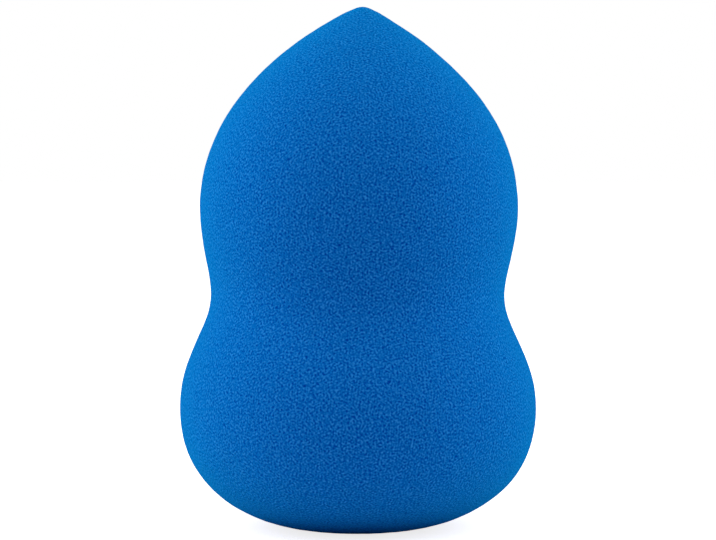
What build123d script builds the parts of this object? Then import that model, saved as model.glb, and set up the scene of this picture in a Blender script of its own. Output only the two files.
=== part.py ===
from build123d import *
import os
from math import cos, radians, sin, sqrt

# Gourd-shaped makeup sponge, moulded in one piece from soft, fine-celled foam.
# It is a solid of revolution: a flat foot to stand on, a wide lower bulge for
# large areas, a waist for the fingers, a narrower upper bulge, and a pointed
# tip with a small round nose for the corners of the eyes and the nose.
#
# Units are millimetres. The origin is the middle of the foot, and +Z runs up
# the sponge's own axis to the tip.
#
# The outline is a chain of cubic curves between four stations: the foot's rim,
# and the circles where the lower bulge, the waist and the upper bulge are
# widest or narrowest. Each circle states the radius of curvature of the
# outline there, and the curves on both of its sides take it, so the curvature
# changes without a jump from the foot's rim up to the nose. The nose is a plain
# arc, and the last curve meets it in direction alone.

# Foot: the flat disc that touches the table
FOOT_DIAMETER = 11.0
FOOT_ROLL = 4.2  # how far the underside hugs the table outside the foot

# Lower bulge
FOOT_TO_LOWER = 13.8  # height of its widest circle above the foot
LOWER_DIAMETER = 41.0
LOWER_ROUNDNESS = 17.0  # radius of curvature of the outline there

# Waist
LOWER_TO_WAIST = 13.2  # height of its narrowest circle above the lower bulge's
WAIST_DIAMETER = 33.8
WAIST_ROUNDNESS = 6.6

# Upper bulge
WAIST_TO_UPPER = 10.1  # height of its widest circle above the waist's
UPPER_DIAMETER = 36.6
UPPER_ROUNDNESS = 19.5

# Tip
UPPER_TO_TIP = 22.9  # height of the top of the nose above the upper bulge's circle
NOSE_RADIUS = 2.1
NOSE_SLOPE = 26.3  # degrees below the horizontal at which the flank leaves the nose
FLANK_REACH = 5.6  # how far the flank runs on at that slope before it turns down


def bend_reach(roundness, offset):
    """How far a cubic curve runs along its end's tangent to have that radius
    of curvature there, when its other end's handle is offset to one side."""
    return sqrt(2 / 3 * roundness * offset)


# Stations of the outline, as (radius, height)
foot_rim = (FOOT_DIAMETER / 2, 0)
lower = (LOWER_DIAMETER / 2, FOOT_TO_LOWER)
waist = (WAIST_DIAMETER / 2, lower[1] + LOWER_TO_WAIST)
upper = (UPPER_DIAMETER / 2, waist[1] + WAIST_TO_UPPER)
top = (0, upper[1] + UPPER_TO_TIP)


def underside():
    """From the foot's rim, level with the table, out to the lower bulge."""
    roll_end = (foot_rim[0] + FOOT_ROLL, 0)
    reach = bend_reach(LOWER_ROUNDNESS, lower[0] - roll_end[0])
    return Bezier(foot_rim, roll_end, (lower[0], lower[1] - reach), lower)


def side(start, start_roundness, end, end_roundness):
    """From one circle up to the next, upright at both."""
    offset = abs(start[0] - end[0])
    start_reach = bend_reach(start_roundness, offset)
    end_reach = bend_reach(end_roundness, offset)
    return Bezier(
        start,
        (start[0], start[1] + start_reach),
        (end[0], end[1] - end_reach),
        end,
    )


def nose():
    """The round end of the tip, from the flank to the axis."""
    centre = (0, top[1] - NOSE_RADIUS)
    return CenterArc(centre, NOSE_RADIUS, 90 - NOSE_SLOPE, NOSE_SLOPE)


def flank(nose_start):
    """From the upper bulge to the nose, which it meets along the nose's slope."""
    slope = radians(NOSE_SLOPE)
    run_on = (
        nose_start.X + FLANK_REACH * cos(slope),
        nose_start.Y - FLANK_REACH * sin(slope),
    )
    reach = bend_reach(UPPER_ROUNDNESS, upper[0] - run_on[0])
    return Bezier(upper, (upper[0], upper[1] + reach), run_on, nose_start)


def half_section():
    """From the middle of the foot up the side to the tip, and down the axis."""
    tip = nose()
    return make_face(
        [
            Line((0, 0), foot_rim),
            underside(),
            side(lower, LOWER_ROUNDNESS, waist, WAIST_ROUNDNESS),
            side(waist, WAIST_ROUNDNESS, upper, UPPER_ROUNDNESS),
            flank(tip @ 0),
            tip,
            Line(top, (0, 0)),
        ]
    )


def sponge_body():
    """The whole sponge: its half section turned once about the axis. It isn't
    cleaned, so each stretch between two stations stays a face of its own."""
    return revolve(Plane.XZ * half_section(), axis=Axis.Z, clean=False)


os.makedirs("parts", exist_ok=True)
export_step(sponge_body(), "parts/sponge_body.step")
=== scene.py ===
# %% [markdown]
# # A foam makeup sponge
#
# The real sponge is one piece of soft foam, moulded in the shape of a gourd: a
# flat foot, a wide lower bulge, a waist for the fingers, a narrower upper bulge
# and a pointed tip. It has no seam and no second part, so all of its looks come
# from a clean curved form and from the skin of the foam.
#
# The CAD solid already has the true outline. It is loaded first, as a fixed
# frame that nothing here moves. Its surface is a net of flat triangles in
# separate patches, which is right for measuring and wrong for foam, so a new
# mesh of small squares is pressed onto it and takes its place.

# %% Load the frame
from math import cos, radians, sin

import bpy
import numpy as np
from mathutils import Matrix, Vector


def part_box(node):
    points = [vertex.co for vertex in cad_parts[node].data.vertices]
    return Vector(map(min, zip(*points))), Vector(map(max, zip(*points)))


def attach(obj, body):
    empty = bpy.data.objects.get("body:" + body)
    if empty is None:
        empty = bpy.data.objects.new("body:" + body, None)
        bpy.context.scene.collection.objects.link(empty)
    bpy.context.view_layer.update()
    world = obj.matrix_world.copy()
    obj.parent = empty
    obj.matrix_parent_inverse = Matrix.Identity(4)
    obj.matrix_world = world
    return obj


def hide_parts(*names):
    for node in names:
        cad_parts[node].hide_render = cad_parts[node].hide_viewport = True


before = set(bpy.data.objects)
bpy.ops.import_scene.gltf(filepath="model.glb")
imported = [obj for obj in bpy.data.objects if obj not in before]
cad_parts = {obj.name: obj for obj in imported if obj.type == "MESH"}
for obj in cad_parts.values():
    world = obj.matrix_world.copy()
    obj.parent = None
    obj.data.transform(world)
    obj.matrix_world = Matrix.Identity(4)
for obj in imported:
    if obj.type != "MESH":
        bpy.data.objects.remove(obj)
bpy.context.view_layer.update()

MM = 0.001
NODE = "sponge_body"
low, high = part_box(NODE)
middle = (low + high) / 2
width = high.x - low.x
height = high.z - low.z
print(f"CAD solid: {width / MM:.1f} mm across, {height / MM:.1f} mm tall")

# %% [markdown]
# ## Four small helpers
#
# Operators act on everything that is selected, and loading the frame leaves the
# CAD solid selected. So every step starts by selecting one object alone. In
# edit mode, points are picked in code by a rule about where they are.

# %% Helpers
def select_only(piece):
    """Selects this one object and makes it the active one."""
    bpy.ops.object.select_all(action="DESELECT")
    piece.select_set(True)
    bpy.context.view_layer.objects.active = piece


def places(piece):
    """The piece's points as rows of x, y, z."""
    flat = np.empty(len(piece.data.vertices) * 3)
    piece.data.vertices.foreach_get("co", flat)
    return flat.reshape(-1, 3)


def edit_points(piece, chosen):
    """Opens edit mode with only the chosen points selected."""
    select_only(piece)
    bpy.ops.object.mode_set(mode="EDIT")
    bpy.ops.mesh.select_mode(type="VERT")
    bpy.ops.mesh.select_all(action="DESELECT")
    bpy.ops.object.mode_set(mode="OBJECT")
    piece.data.vertices.foreach_set("select", chosen)
    bpy.ops.object.mode_set(mode="EDIT")


def modify(piece, kind, **settings):
    """Adds a modifier with these settings and applies it."""
    select_only(piece)
    modifier = piece.modifiers.new(kind.title(), kind)
    for name, value in settings.items():
        setattr(modifier, name, value)
    bpy.ops.object.modifier_apply(modifier=modifier.name)


# %% [markdown]
# ## The mould
#
# A real sponge gets its form from a mould. Here the mould is a copy of the CAD
# solid. The CAD mesh comes in six patches, one for each face of the solid, with
# doubled points where they meet. So the copy is merged into one closed skin
# before anything is pressed against it. The CAD object itself stays as it is.

# %% Copy the solid and merge the copy
MERGE_REACH = 0.001 * MM
select_only(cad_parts[NODE])
bpy.ops.object.duplicate()
mould = bpy.context.object
mould.name = "mould"
bpy.ops.object.mode_set(mode="EDIT")
bpy.ops.mesh.select_all(action="SELECT")
bpy.ops.mesh.remove_doubles(threshold=MERGE_REACH)
bpy.ops.object.mode_set(mode="OBJECT")
print("mould:", len(mould.data.vertices), "points,", len(mould.data.polygons), "triangles")

# %% [markdown]
# ## A round cage
#
# A sphere made of rings bunches its points at the poles, and here one pole would
# be the tip, where the eye goes first. A cube that is subdivided and blown up to
# a ball has squares all over and no pole. The ones near the cube's corners are
# smaller, but none is a thin wedge, so it is the better start for a skin that
# carries fine relief. Eight squares along each edge are enough to begin with.

# %% A cube blown up to a ball, then drawn up to the height
CAGE_CUTS = 7
bpy.ops.mesh.primitive_cube_add(size=1, location=middle, scale=(width, width, width))
sponge = bpy.context.object
sponge.name = "foam_sponge"
sponge.data.name = "foam_sponge"
bpy.ops.object.transform_apply(location=True, rotation=True, scale=True)
bpy.ops.object.mode_set(mode="EDIT")
bpy.ops.mesh.select_all(action="SELECT")
bpy.ops.mesh.subdivide(number_cuts=CAGE_CUTS)
bpy.ops.transform.tosphere(value=1)
bpy.ops.object.mode_set(mode="OBJECT")
ball = np.ptp(places(sponge)[:, 2])
edit_points(sponge, np.ones(len(sponge.data.vertices), bool))
bpy.ops.transform.resize(
    value=(width / ball, width / ball, height / ball), center_override=middle
)
bpy.ops.object.mode_set(mode="OBJECT")
print("cage:", len(sponge.data.polygons), "squares,", sponge.dimensions / MM)

# %% [markdown]
# ## Pinch the waist
#
# The cage is still an egg. Squeezing it where the waist is, with soft selection
# so that the points above and below follow, brings it close to the mould before
# it is pressed on. Points that travel a short way keep their spacing better. The
# height of the waist is read from the mould: the narrowest level between the
# bulges.

# %% Find the waist and pinch it
WAIST_LOWEST = 0.3  # these are all shares of the sponge's height
WAIST_HIGHEST = 0.6
WAIST_STEP = 0.01
LEVEL_BAND = 0.02
PINCH_BAND = 0.07
PINCH_SPREAD = 0.15


def squeeze(piece, chosen, factor, level, spread):
    """Draws the chosen points in towards the axis, and the ones around them
    less with distance."""
    edit_points(piece, chosen)
    bpy.ops.transform.resize(
        value=(factor, factor, 1),
        center_override=(middle.x, middle.y, level),
        use_proportional_edit=True,
        proportional_edit_falloff="SMOOTH",
        proportional_size=spread,
    )
    bpy.ops.object.mode_set(mode="OBJECT")


form = places(mould)
levels = np.arange(WAIST_LOWEST, WAIST_HIGHEST, WAIST_STEP) * height
reach = []
for level in levels:
    ring = form[abs(form[:, 2] - level) < LEVEL_BAND * height, :2]
    reach.append(np.hypot(*ring.T).max())
waist_z = levels[int(np.argmin(reach))]
cage = places(sponge)
near = abs(cage[:, 2] - waist_z) < PINCH_BAND * height
pinch = min(reach) / np.hypot(*cage[near, :2].T).max()
squeeze(sponge, near, pinch, waist_z, PINCH_SPREAD * height)
print(f"waist at {waist_z / MM:.1f} mm, squeezed to {pinch:.0%}")

# %% [markdown]
# ## Press the skin onto the mould
#
# One press of a coarse cage would leave big flat squares. One press of a dense
# ball would leave the squares in the waist three times as tall as they are wide,
# because points that are pressed into a hollow spread apart. Working from coarse
# to fine avoids the first fault and nearly halves the second: each round splits
# every square in four, evens the spacing with a smoothing pass, and presses the
# skin back onto the mould.

# %% Four rounds of divide, even out and press
ROUNDS = 4
SMOOTHING = 0.5
EVENING_PASSES = 12
for turn in range(ROUNDS):
    modify(sponge, "SUBSURF", levels=1, render_levels=1)
    modify(sponge, "SMOOTH", factor=SMOOTHING, iterations=EVENING_PASSES)
    modify(sponge, "SHRINKWRAP", target=mould, wrap_method="NEAREST_SURFACEPOINT")
    print("round", turn + 1, "has", len(sponge.data.polygons), "squares")

# %% [markdown]
# ## Take out the mould's facets
#
# The mould is made of flat triangles about a millimetre long, and the skin has
# copied them. Foam has no facets. A few passes of smoothing spread over about
# one triangle take them out. Smoothing also blunts a sharp tip a little, so the
# tip alone is drawn up again to the solid's own height and pinched back to its
# own roundness. Then the foot, which must stand on a table, is pressed flat.

# %% Smooth, draw up and pinch the tip, and flatten the foot
def grab(piece, chosen, shift, spread, falloff):
    """Moves the chosen points, and the ones around them less with distance."""
    edit_points(piece, chosen)
    bpy.ops.transform.translate(
        value=shift,
        use_proportional_edit=True,
        proportional_edit_falloff=falloff,
        proportional_size=spread,
    )
    bpy.ops.object.mode_set(mode="OBJECT")


FACET_PASSES = 10
TIP_BAND = 0.05 * MM
TIP_SPREAD = 5 * MM
NOSE_BAND = 0.3 * MM
NOSE_PINCH = 0.9
NOSE_SPREAD = 0.9 * MM
FOOT_BAND = 0.03 * MM
modify(sponge, "SMOOTH", factor=SMOOTHING, iterations=FACET_PASSES)
skin_z = places(sponge)[:, 2]
sunk = high.z - skin_z.max()
tip = skin_z > skin_z.max() - TIP_BAND
grab(sponge, tip, (0, 0, sunk), TIP_SPREAD, "SMOOTH")
nose = places(sponge)[:, 2] > high.z - NOSE_BAND
squeeze(sponge, nose, NOSE_PINCH, high.z, NOSE_SPREAD)
foot = skin_z < low.z + FOOT_BAND
edit_points(sponge, foot)
bpy.ops.transform.resize(value=(1, 1, 0), center_override=low)
bpy.ops.object.mode_set(mode="OBJECT")
print(f"the tip had sunk {sunk / MM:.2f} mm; {foot.sum()} points of the foot lie flat")
print("skin:", sponge.dimensions / MM)

bpy.data.meshes.remove(mould.data)

# %% [markdown]
# ## A soft thing never stands quite straight
#
# The mould's form is perfectly round about its axis, but foam that has been
# pulled out of a mould isn't. Four grabs with soft selection loosen it: a broad
# one carries everything above the waist a little to the side, a narrower one
# nudges the tip, and the last two fill out one flank, low on the lower bulge and
# just above the waist.

# %% Lean the top, nudge the tip and fill out a flank
# "from", "at", "band" and "spread" are shares of the height, "side" of the width
LEAN = {"from": 0.78, "shift": 0.25 * MM, "spread": 0.42}
NUDGE = {"from": 0.995, "shift": 0.36 * MM, "spread": 0.20}
SWELLS = (
    {"at": 0.16, "band": 0.06, "side": 0.44, "shift": 0.18 * MM, "spread": 0.18},
    {"at": 0.54, "band": 0.03, "side": 0.40, "shift": 0.11 * MM, "spread": 0.11},
)
place = places(sponge)
for bend, falloff in ((LEAN, "SMOOTH"), (NUDGE, "SHARP")):
    above = place[:, 2] > bend["from"] * height
    grab(sponge, above, (bend["shift"], 0, 0), bend["spread"] * height, falloff)
for swell in SWELLS:
    level = abs(place[:, 2] - swell["at"] * height) < swell["band"] * height
    flank = level & (place[:, 0] > swell["side"] * width)
    grab(sponge, flank, (swell["shift"], 0, 0), swell["spread"] * height, "SMOOTH")
place = places(sponge)
top = place[np.argmax(place[:, 2])]
print(f"the tip now leans {top[0] / MM:.2f} mm to the side")

# %% [markdown]
# ## Relief that is really there
#
# The skin of moulded foam isn't glassy: it rises and falls by a few hundredths
# of a millimetre over a few millimetres, and it is grainy. What the mesh can
# hold goes into the mesh, so that it is there in a shadow, at the outline and in
# a print. Its squares are about a quarter of a millimetre wide, so grain down to
# about three of them is displaced here, and the finer cells are left to the
# material. A vertex group keeps the foot flat on the table: its weight is 0 on
# the foot and rises to 1 in ten steps over the first millimetre and a half.

# %% Displace the skin everywhere but on the foot
RELIEF = {
    "unevenness": {"scale": 5.0 * MM, "depth": 0.09 * MM},
    "grain": {"scale": 0.8 * MM, "depth": 0.04 * MM},
}
MID_GREY = 0.5  # the value of a texture that leaves a point where it is
RISE = 1.5 * MM
RISE_STEPS = 10
above_foot = places(sponge)[:, 2] - low.z - FOOT_BAND
weights = np.round(np.clip(above_foot / RISE, 0, 1) * RISE_STEPS) / RISE_STEPS
skin = sponge.vertex_groups.new(name="skin")
for weight in np.linspace(0, 1, RISE_STEPS + 1):
    band = np.flatnonzero(np.isclose(weights, weight))
    skin.add([int(point) for point in band], float(weight), "REPLACE")

for name, relief in RELIEF.items():
    texture = bpy.data.textures.new(name, "CLOUDS")
    texture.noise_scale = relief["scale"]
    modify(
        sponge,
        "DISPLACE",
        texture=texture,
        texture_coords="LOCAL",
        strength=relief["depth"],
        mid_level=MID_GREY,
        vertex_group=skin.name,
    )
bpy.ops.object.shade_smooth()
sponge.vertex_groups.clear()
squares = len(sponge.data.polygons)
print("sponge:", squares, "squares,", 2 * squares, "triangles,", sponge.dimensions / MM)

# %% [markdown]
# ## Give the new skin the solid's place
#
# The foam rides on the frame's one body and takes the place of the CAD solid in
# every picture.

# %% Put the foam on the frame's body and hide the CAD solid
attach(sponge, "root")
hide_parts(NODE)
print("foam_sponge stands in for", NODE)

# %% [markdown]
# ## A short way to wire nodes
#
# A material is a chain of nodes. This helper makes one node, sets its choices,
# and then either fills each input with a value or links it to another node, so
# a material below reads from top to bottom in the order that it works.

# %% Helper for wiring nodes
def add_node(tree, kind, inputs=None, **settings):
    """Adds a node, sets its choices, and fills or links its inputs."""
    node = tree.nodes.new(kind)
    for name, value in settings.items():
        setattr(node, name, value)
    for name, value in (inputs or {}).items():
        if isinstance(value, bpy.types.NodeSocket):
            tree.links.new(value, node.inputs[name])
        else:
            node.inputs[name].default_value = value
    return node


# %% [markdown]
# ## The cells of the foam
#
# Close up, the skin is a crowd of tiny cells, each a pit with a thin wall round
# it. A Voronoi texture is just that: space shared out among scattered points,
# with the distance to the nearest point low in the middle of each cell and high
# at its walls. Read in the object's own coordinates, it cuts through the cells
# as the skin cuts through foam, with no seam and no stretching anywhere.
#
# A fine noise makes no two cells alike. Left alone it would also bring broad
# light and dark patches, and foam has few of those, because its bubbles are
# nearly one size. So at each point, most of the mean of three neighbours, about
# a cell away along the skin, is taken off. Most of the patches go and the cells
# stay crisp. Here and there a cell is a true pinhole.

# %% A fine noise, along axes of its own
GRAIN = 0.23 * MM
PATTERN_TURN = (0.7, 0.4, 1.1)  # radians about x, y and z


def turned(group, spot):
    """The spot along the pattern's own axes, so its grid lines up with nothing."""
    return add_node(
        group,
        "ShaderNodeVectorRotate",
        {"Vector": spot, "Rotation": PATTERN_TURN},
        rotation_type="EULER_XYZ",
    ).outputs["Vector"]


def grain_at(group, spot):
    """The fine noise at a spot."""
    return add_node(
        group,
        "ShaderNodeTexNoise",
        {"Vector": turned(group, spot), "Scale": 1 / GRAIN, "Detail": 0.0},
    ).outputs["Fac"]


# %% The same noise without its broad patches
NEIGHBOUR = 0.22 * MM
NEIGHBOUR_ANGLES = (0, 120, 240)
EVENNESS = 0.62
ALMOST_UP = (0.05, 0.02, 1.0)


def even_grain(group, spot, outward):
    """The fine noise less most of the mean of its neighbours along the skin. The
    first neighbour lies to the side of the spot, and the others are turned from
    it about the outward direction. The side is found from a line that is almost
    upright, because on the flat foot an upright one has no side."""
    across = add_node(
        group,
        "ShaderNodeVectorMath",
        {0: outward, 1: ALMOST_UP},
        operation="CROSS_PRODUCT",
    ).outputs[0]
    sideways = add_node(
        group, "ShaderNodeVectorMath", {0: across}, operation="NORMALIZE"
    ).outputs[0]
    first = add_node(
        group,
        "ShaderNodeVectorMath",
        {0: sideways, 1: (NEIGHBOUR,) * 3, 2: spot},
        operation="MULTIPLY_ADD",
    ).outputs[0]
    grain = grain_at(group, spot)
    for angle in NEIGHBOUR_ANGLES:
        neighbour = add_node(
            group,
            "ShaderNodeVectorRotate",
            {"Vector": first, "Center": spot, "Axis": outward, "Angle": radians(angle)},
            rotation_type="AXIS_ANGLE",
        ).outputs["Vector"]
        grain = add_node(
            group,
            "ShaderNodeMath",
            {
                0: grain_at(group, neighbour),
                1: -EVENNESS / len(NEIGHBOUR_ANGLES),
                2: grain,
            },
            operation="MULTIPLY_ADD",
        ).outputs[0]
    return grain


# %% Cells, grain and pinholes together, as a node group
CELL = 0.27 * MM
CELL_SCATTER = 0.7
CELL_SHARE = 0.42
GRAIN_SHARE = 1.25
PINHOLE_SPACING = 2.6 * MM
PINHOLE_REACH = 0.085  # share of the spacing
PINHOLE_FLOOR = 0.5  # share of a pinhole's reach that is its flat bottom
MOTTLE_SIZE = 2.2 * MM
MOTTLE_DETAIL = 3.0
MOTTLE_ROUGHNESS = 0.6


def cell_pattern():
    """Height of the skin, 0 in a pit and 1 on a wall, and a slow mottle."""
    group = bpy.data.node_groups.new("foam_cells", "ShaderNodeTree")
    group.interface.new_socket("Height", in_out="OUTPUT", socket_type="NodeSocketFloat")
    group.interface.new_socket("Mottle", in_out="OUTPUT", socket_type="NodeSocketFloat")
    place = add_node(group, "ShaderNodeTexCoord")
    here = turned(group, place.outputs["Object"])
    cells = add_node(
        group,
        "ShaderNodeTexVoronoi",
        {"Vector": here, "Scale": 1 / CELL, "Randomness": CELL_SCATTER},
        feature="F1",
    ).outputs["Distance"]
    cells_height = add_node(
        group, "ShaderNodeMath", {0: cells, 1: CELL_SHARE}, operation="MULTIPLY"
    ).outputs[0]
    rise = add_node(
        group,
        "ShaderNodeMath",
        {
            0: even_grain(group, place.outputs["Object"], place.outputs["Normal"]),
            1: GRAIN_SHARE,
            2: cells_height,
        },
        operation="MULTIPLY_ADD",
        use_clamp=True,
    ).outputs[0]
    holes = add_node(
        group,
        "ShaderNodeTexVoronoi",
        {"Vector": here, "Scale": 1 / PINHOLE_SPACING, "Randomness": 1.0},
        feature="F1",
    ).outputs["Distance"]
    whole = add_node(
        group,
        "ShaderNodeMapRange",
        {
            "Value": holes,
            "From Min": PINHOLE_FLOOR * PINHOLE_REACH,
            "From Max": PINHOLE_REACH,
        },
    ).outputs["Result"]
    height = add_node(
        group, "ShaderNodeMath", {0: rise, 1: whole}, operation="MULTIPLY"
    ).outputs[0]
    mottle = add_node(
        group,
        "ShaderNodeTexNoise",
        {
            "Vector": here,
            "Scale": 1 / MOTTLE_SIZE,
            "Detail": MOTTLE_DETAIL,
            "Roughness": MOTTLE_ROUGHNESS,
        },
    ).outputs["Fac"]
    out = add_node(group, "NodeGroupOutput")
    group.links.new(height, out.inputs["Height"])
    group.links.new(mottle, out.inputs["Mottle"])
    return group


pattern = cell_pattern()
print(f"{pattern.name}: {len(pattern.nodes)} nodes, cells of {CELL / MM:.2f} mm")

# %% [markdown]
# ## The blue of the foam
#
# Light goes deep into a pit and comes back darker and purer, while the thin
# walls catch it and look paler. So the height of the skin picks the colour from
# three stops: a deep blue in the pits, the plain blue of the foam, and a paler
# one on the walls. The deep blue is partly painted shade, the pits' own shadow,
# and the pale blue is partly painted light on the walls. The same height drives a
# small bump, so the cells also shade themselves as the light moves round. Foam
# has no shine, so there is no mirror reflection at all. Its many small edges give
# a soft sheen instead, which brightens the form where it turns away.

# %% The foam material
# the pit colour is partly painted shade in the pits, the wall colour partly painted light on
# the walls
PIT_SHADE_COLOUR = (0.0, 0.004, 0.316, 1)
SKIN_COLOUR = (0.0012, 0.100, 0.503, 1)
WALL_LIGHT_COLOUR = (0.028, 0.228, 0.744, 1)
SKIN_HEIGHT = 0.44
MOTTLE = 0.05
CELL_DEPTH = 0.03 * MM
ROUGHNESS = 0.9
SHEEN = 0.40
SHEEN_ROUGHNESS = 0.8
SHEEN_TINT = (0.0, 0.6, 1.0, 1)


def foam_material(pattern):
    """Matte blue foam: cells in colour, with painted shade in the pits and painted light on
    the walls, and in relief; faint mottling, soft sheen.
    """
    material = bpy.data.materials.new("blue_foam")
    material.use_nodes = True
    tree = material.node_tree
    tree.nodes.clear()
    cells = add_node(tree, "ShaderNodeGroup", node_tree=pattern)
    ramp = add_node(tree, "ShaderNodeValToRGB", {"Fac": cells.outputs["Height"]})
    stops = ramp.color_ramp.elements
    # pits get the deep blue with its painted shade, walls the pale blue with its painted
    # light
    stops[0].color = PIT_SHADE_COLOUR
    stops[1].color = WALL_LIGHT_COLOUR
    stops.new(SKIN_HEIGHT).color = SKIN_COLOUR
    shade = add_node(
        tree,
        "ShaderNodeMapRange",
        {"Value": cells.outputs["Mottle"], "To Min": 1 - MOTTLE, "To Max": 1 + MOTTLE},
    )
    colour = add_node(
        tree,
        "ShaderNodeVectorMath",
        {0: ramp.outputs["Color"], "Scale": shade.outputs["Result"]},
        operation="SCALE",
    )
    bump = add_node(
        tree,
        "ShaderNodeBump",
        {"Height": cells.outputs["Height"], "Strength": 1.0, "Distance": CELL_DEPTH},
    )
    surface = add_node(
        tree,
        "ShaderNodeBsdfPrincipled",
        {
            "Base Color": colour.outputs[0],
            "Normal": bump.outputs["Normal"],
            "Roughness": ROUGHNESS,
            "Specular IOR Level": 0.0,
            "Sheen Weight": SHEEN,
            "Sheen Roughness": SHEEN_ROUGHNESS,
            "Sheen Tint": SHEEN_TINT,
        },
    )
    out = add_node(tree, "ShaderNodeOutputMaterial")
    tree.links.new(surface.outputs["BSDF"], out.inputs["Surface"])
    return material


sponge.data.materials.clear()
foam = foam_material(pattern)
sponge.data.materials.append(foam)
print(f"{foam.name}: {len(foam.node_tree.nodes)} nodes")

# %% [markdown]
# ## A white table
#
# The table has two jobs. Its matte half takes the sponge's soft shadow and
# throws light back up under the bulge. Its glowing half is seen by the camera
# alone and lifts the rest to white, so the table has no far edge. Right under
# the sponge lies a small dark card, as is often done in a studio. The camera
# doesn't see it, but it keeps the white light off the last few millimetres above
# the table. What little comes back up off it is blue, so the sponge stands on a
# dark line of its own colour and not on a grey one.

# %% Floor
FLOOR_WIDTH = 4  # metres
FLOOR_GAP = 0.02 * MM
bpy.ops.object.select_all(action="DESELECT")
bpy.ops.mesh.primitive_plane_add(size=FLOOR_WIDTH, location=(0, 0, -FLOOR_GAP))
floor = bpy.context.object
floor.name = "floor"
print(f"floor {FLOOR_GAP / MM:.2f} mm under the foot")

# %% The floor's material
FLOOR_COLOUR = (0.76, 0.76, 0.76, 1)
FLOOR_GLOW = 0.78  # round the sponge; it rises to 1 further out
GLOW_STARTS_TO_RISE = 30 * MM
GLOW_IS_FULL = 120 * MM
CARD_COLOUR = (0.0, 0.02, 0.35, 1)
CARD_RADIUS = 13 * MM
CARD_EDGE = 4 * MM


def floor_material():
    """Matte white with a dark card, and a glow that only the camera sees."""
    material = bpy.data.materials.new("white_floor")
    material.use_nodes = True
    tree = material.node_tree
    tree.nodes.clear()
    path = add_node(tree, "ShaderNodeLightPath")
    here = add_node(tree, "ShaderNodeTexCoord").outputs["Object"]
    reach = add_node(
        tree, "ShaderNodeVectorMath", {0: here}, operation="LENGTH"
    ).outputs["Value"]
    past_card = add_node(
        tree,
        "ShaderNodeMapRange",
        {"Value": reach, "From Min": CARD_RADIUS, "From Max": CARD_RADIUS + CARD_EDGE},
    ).outputs["Result"]
    plain = add_node(
        tree,
        "ShaderNodeMath",
        {0: past_card, 1: path.outputs["Is Camera Ray"]},
        operation="MAXIMUM",
    ).outputs[0]
    colour = add_node(
        tree, "ShaderNodeMix", {0: plain, 6: CARD_COLOUR, 7: FLOOR_COLOUR}, data_type="RGBA"
    ).outputs[2]
    matte = add_node(tree, "ShaderNodeBsdfDiffuse", {"Color": colour})
    fill = add_node(
        tree,
        "ShaderNodeMapRange",
        {
            "Value": reach,
            "From Min": GLOW_STARTS_TO_RISE,
            "From Max": GLOW_IS_FULL,
            "To Min": FLOOR_GLOW,
            "To Max": 1.0,
        },
        interpolation_type="SMOOTHSTEP",
    ).outputs["Result"]
    strength = add_node(
        tree,
        "ShaderNodeMath",
        {0: path.outputs["Is Camera Ray"], 1: fill},
        operation="MULTIPLY",
    ).outputs[0]
    glow = add_node(
        tree, "ShaderNodeEmission", {"Color": (1, 1, 1, 1), "Strength": strength}
    )
    both = add_node(tree, "ShaderNodeAddShader", {0: matte.outputs[0], 1: glow.outputs[0]})
    out = add_node(tree, "ShaderNodeOutputMaterial")
    tree.links.new(both.outputs[0], out.inputs["Surface"])
    return material


floor.data.materials.append(floor_material())
print(f"card {CARD_RADIUS / MM:.0f} mm in radius")

# %% [markdown]
# ## The room
#
# The walls of the room give a little light from every side. The camera sees
# them plain white, like the table, so nothing stands behind the sponge. Mirrors
# and glass, if there were any here, would see them white too.

# %% World
AMBIENT = 0.38
world = bpy.data.worlds.new("studio")
bpy.context.scene.world = world
world.use_nodes = True
tree = world.node_tree
tree.nodes.clear()
ambient = add_node(
    tree, "ShaderNodeBackground", {"Color": (1, 1, 1, 1), "Strength": AMBIENT}
)
white = add_node(tree, "ShaderNodeBackground", {"Color": (1, 1, 1, 1), "Strength": 1.0})
path = add_node(tree, "ShaderNodeLightPath")
seen = add_node(
    tree,
    "ShaderNodeMath",
    {0: path.outputs["Is Camera Ray"], 1: path.outputs["Is Glossy Ray"]},
    operation="MAXIMUM",
)
seen = add_node(
    tree,
    "ShaderNodeMath",
    {0: seen.outputs[0], 1: path.outputs["Is Transmission Ray"]},
    operation="MAXIMUM",
)
mixed = add_node(
    tree,
    "ShaderNodeMixShader",
    {0: seen.outputs[0], 1: ambient.outputs[0], 2: white.outputs[0]},
)
out = add_node(tree, "ShaderNodeOutputWorld")
tree.links.new(mixed.outputs[0], out.inputs["Surface"])
print(f"room light: {AMBIENT:.2f}, and plain white to the camera")

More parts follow.
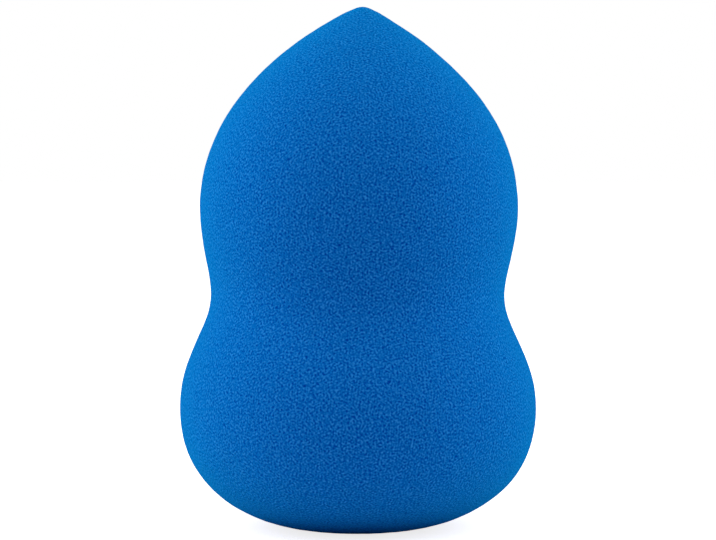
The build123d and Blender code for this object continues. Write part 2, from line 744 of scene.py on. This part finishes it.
# %% [markdown]
# ## Three soft lamps
#
# Two large softboxes stand a little above the sponge, left and right, and light
# its two flanks more than its front, which is what makes the form read as round.
# A faint one overhead picks out the tip. All are big for their distance, so no
# shadow has a hard edge.

# %% Lamps
# "around" and "up" are in degrees, "distance" and "size" in metres, "power" in watts
LAMPS = {
    "left_softbox": {"around": -90, "up": 25, "distance": 0.42, "size": 0.45, "power": 1.37},
    "right_softbox": {"around": 90, "up": 25, "distance": 0.42, "size": 0.45, "power": 1.15},
    "top_softbox": {"around": 0, "up": 90, "distance": 0.50, "size": 0.40, "power": 0.36},
}


def softbox(name, around, up, distance, size, power):
    """A square softbox facing the sponge; it stands `around` degrees from the
    front (right is positive) and `up` degrees above the table."""
    turn = radians(around)
    rise = radians(up)
    way = Vector((sin(turn) * cos(rise), -cos(turn) * cos(rise), sin(rise)))
    bpy.ops.object.light_add(type="AREA", location=middle + distance * way)
    lamp = bpy.context.object
    lamp.name = name
    lamp.data.shape = "SQUARE"
    lamp.data.size = size
    lamp.data.energy = power
    lamp.rotation_mode = "QUATERNION"
    lamp.rotation_quaternion = way.to_track_quat("Z", "Y")
    print(f"{name}: {power:.2f} W, {size:.2f} m wide, {distance:.2f} m away")


for name, settings in LAMPS.items():
    softbox(name, **settings)

# %% [markdown]
# ## The camera
#
# A long lens, low down and close to level, shows the outline almost true: the
# sponge is seen from the side and hardly at all from above.

# %% Camera
DISTANCE = 0.310
ELEVATION = radians(3)
AIM = Vector((0.00008, 0, 0.02971))
LENS = 135
SENSOR = 36
NEAREST_SEEN = 0.01
bpy.ops.object.camera_add()
camera = bpy.context.object
camera.data.lens = LENS
camera.data.sensor_width = SENSOR
back = Vector((0, -cos(ELEVATION), sin(ELEVATION)))
camera.location = AIM + DISTANCE * back
camera.rotation_mode = "QUATERNION"
camera.rotation_quaternion = back.to_track_quat("Z", "Y")
camera.data.clip_start = NEAREST_SEEN
bpy.context.scene.camera = camera
bpy.context.scene.view_settings.view_transform = "Standard"
print(f"camera {DISTANCE / MM:.0f} mm away, {LENS} mm lens")
